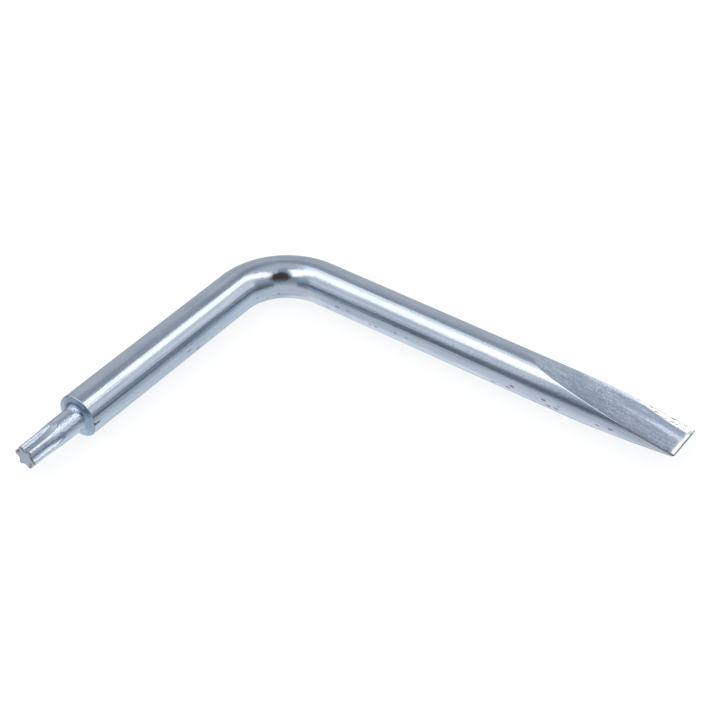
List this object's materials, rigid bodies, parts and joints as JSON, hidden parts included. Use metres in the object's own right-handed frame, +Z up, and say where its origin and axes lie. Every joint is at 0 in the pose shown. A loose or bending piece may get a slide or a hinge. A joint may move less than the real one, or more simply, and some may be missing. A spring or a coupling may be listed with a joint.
{
  "type": "l-shaped screwdriver key",
  "caption": "L-shaped key bent from round zinc-plated steel bar, with a star-lobed bit on the short leg and a flat screwdriver blade on the long leg.",
  "frame": {"origin": "under the middle of the key's box, on the surface that the key lies on", "axes": "+X along the long leg towards the flat blade, -Y along the short leg towards the lobed bit, +Z up from the surface"},
  "size_m": [0.1018, 0.0794, 0.009],
  "materials": {
    "shank_zinc": "bright zinc plating on drawn bar, with the blade's flats left matt",
    "bit_zinc": "bright zinc plating over formed lobes"
  },
  "bodies": {
    "root": {"bent_shank": "shank_zinc", "six_lobe_bit": "bit_zinc"}
  },
  "joints": []
}
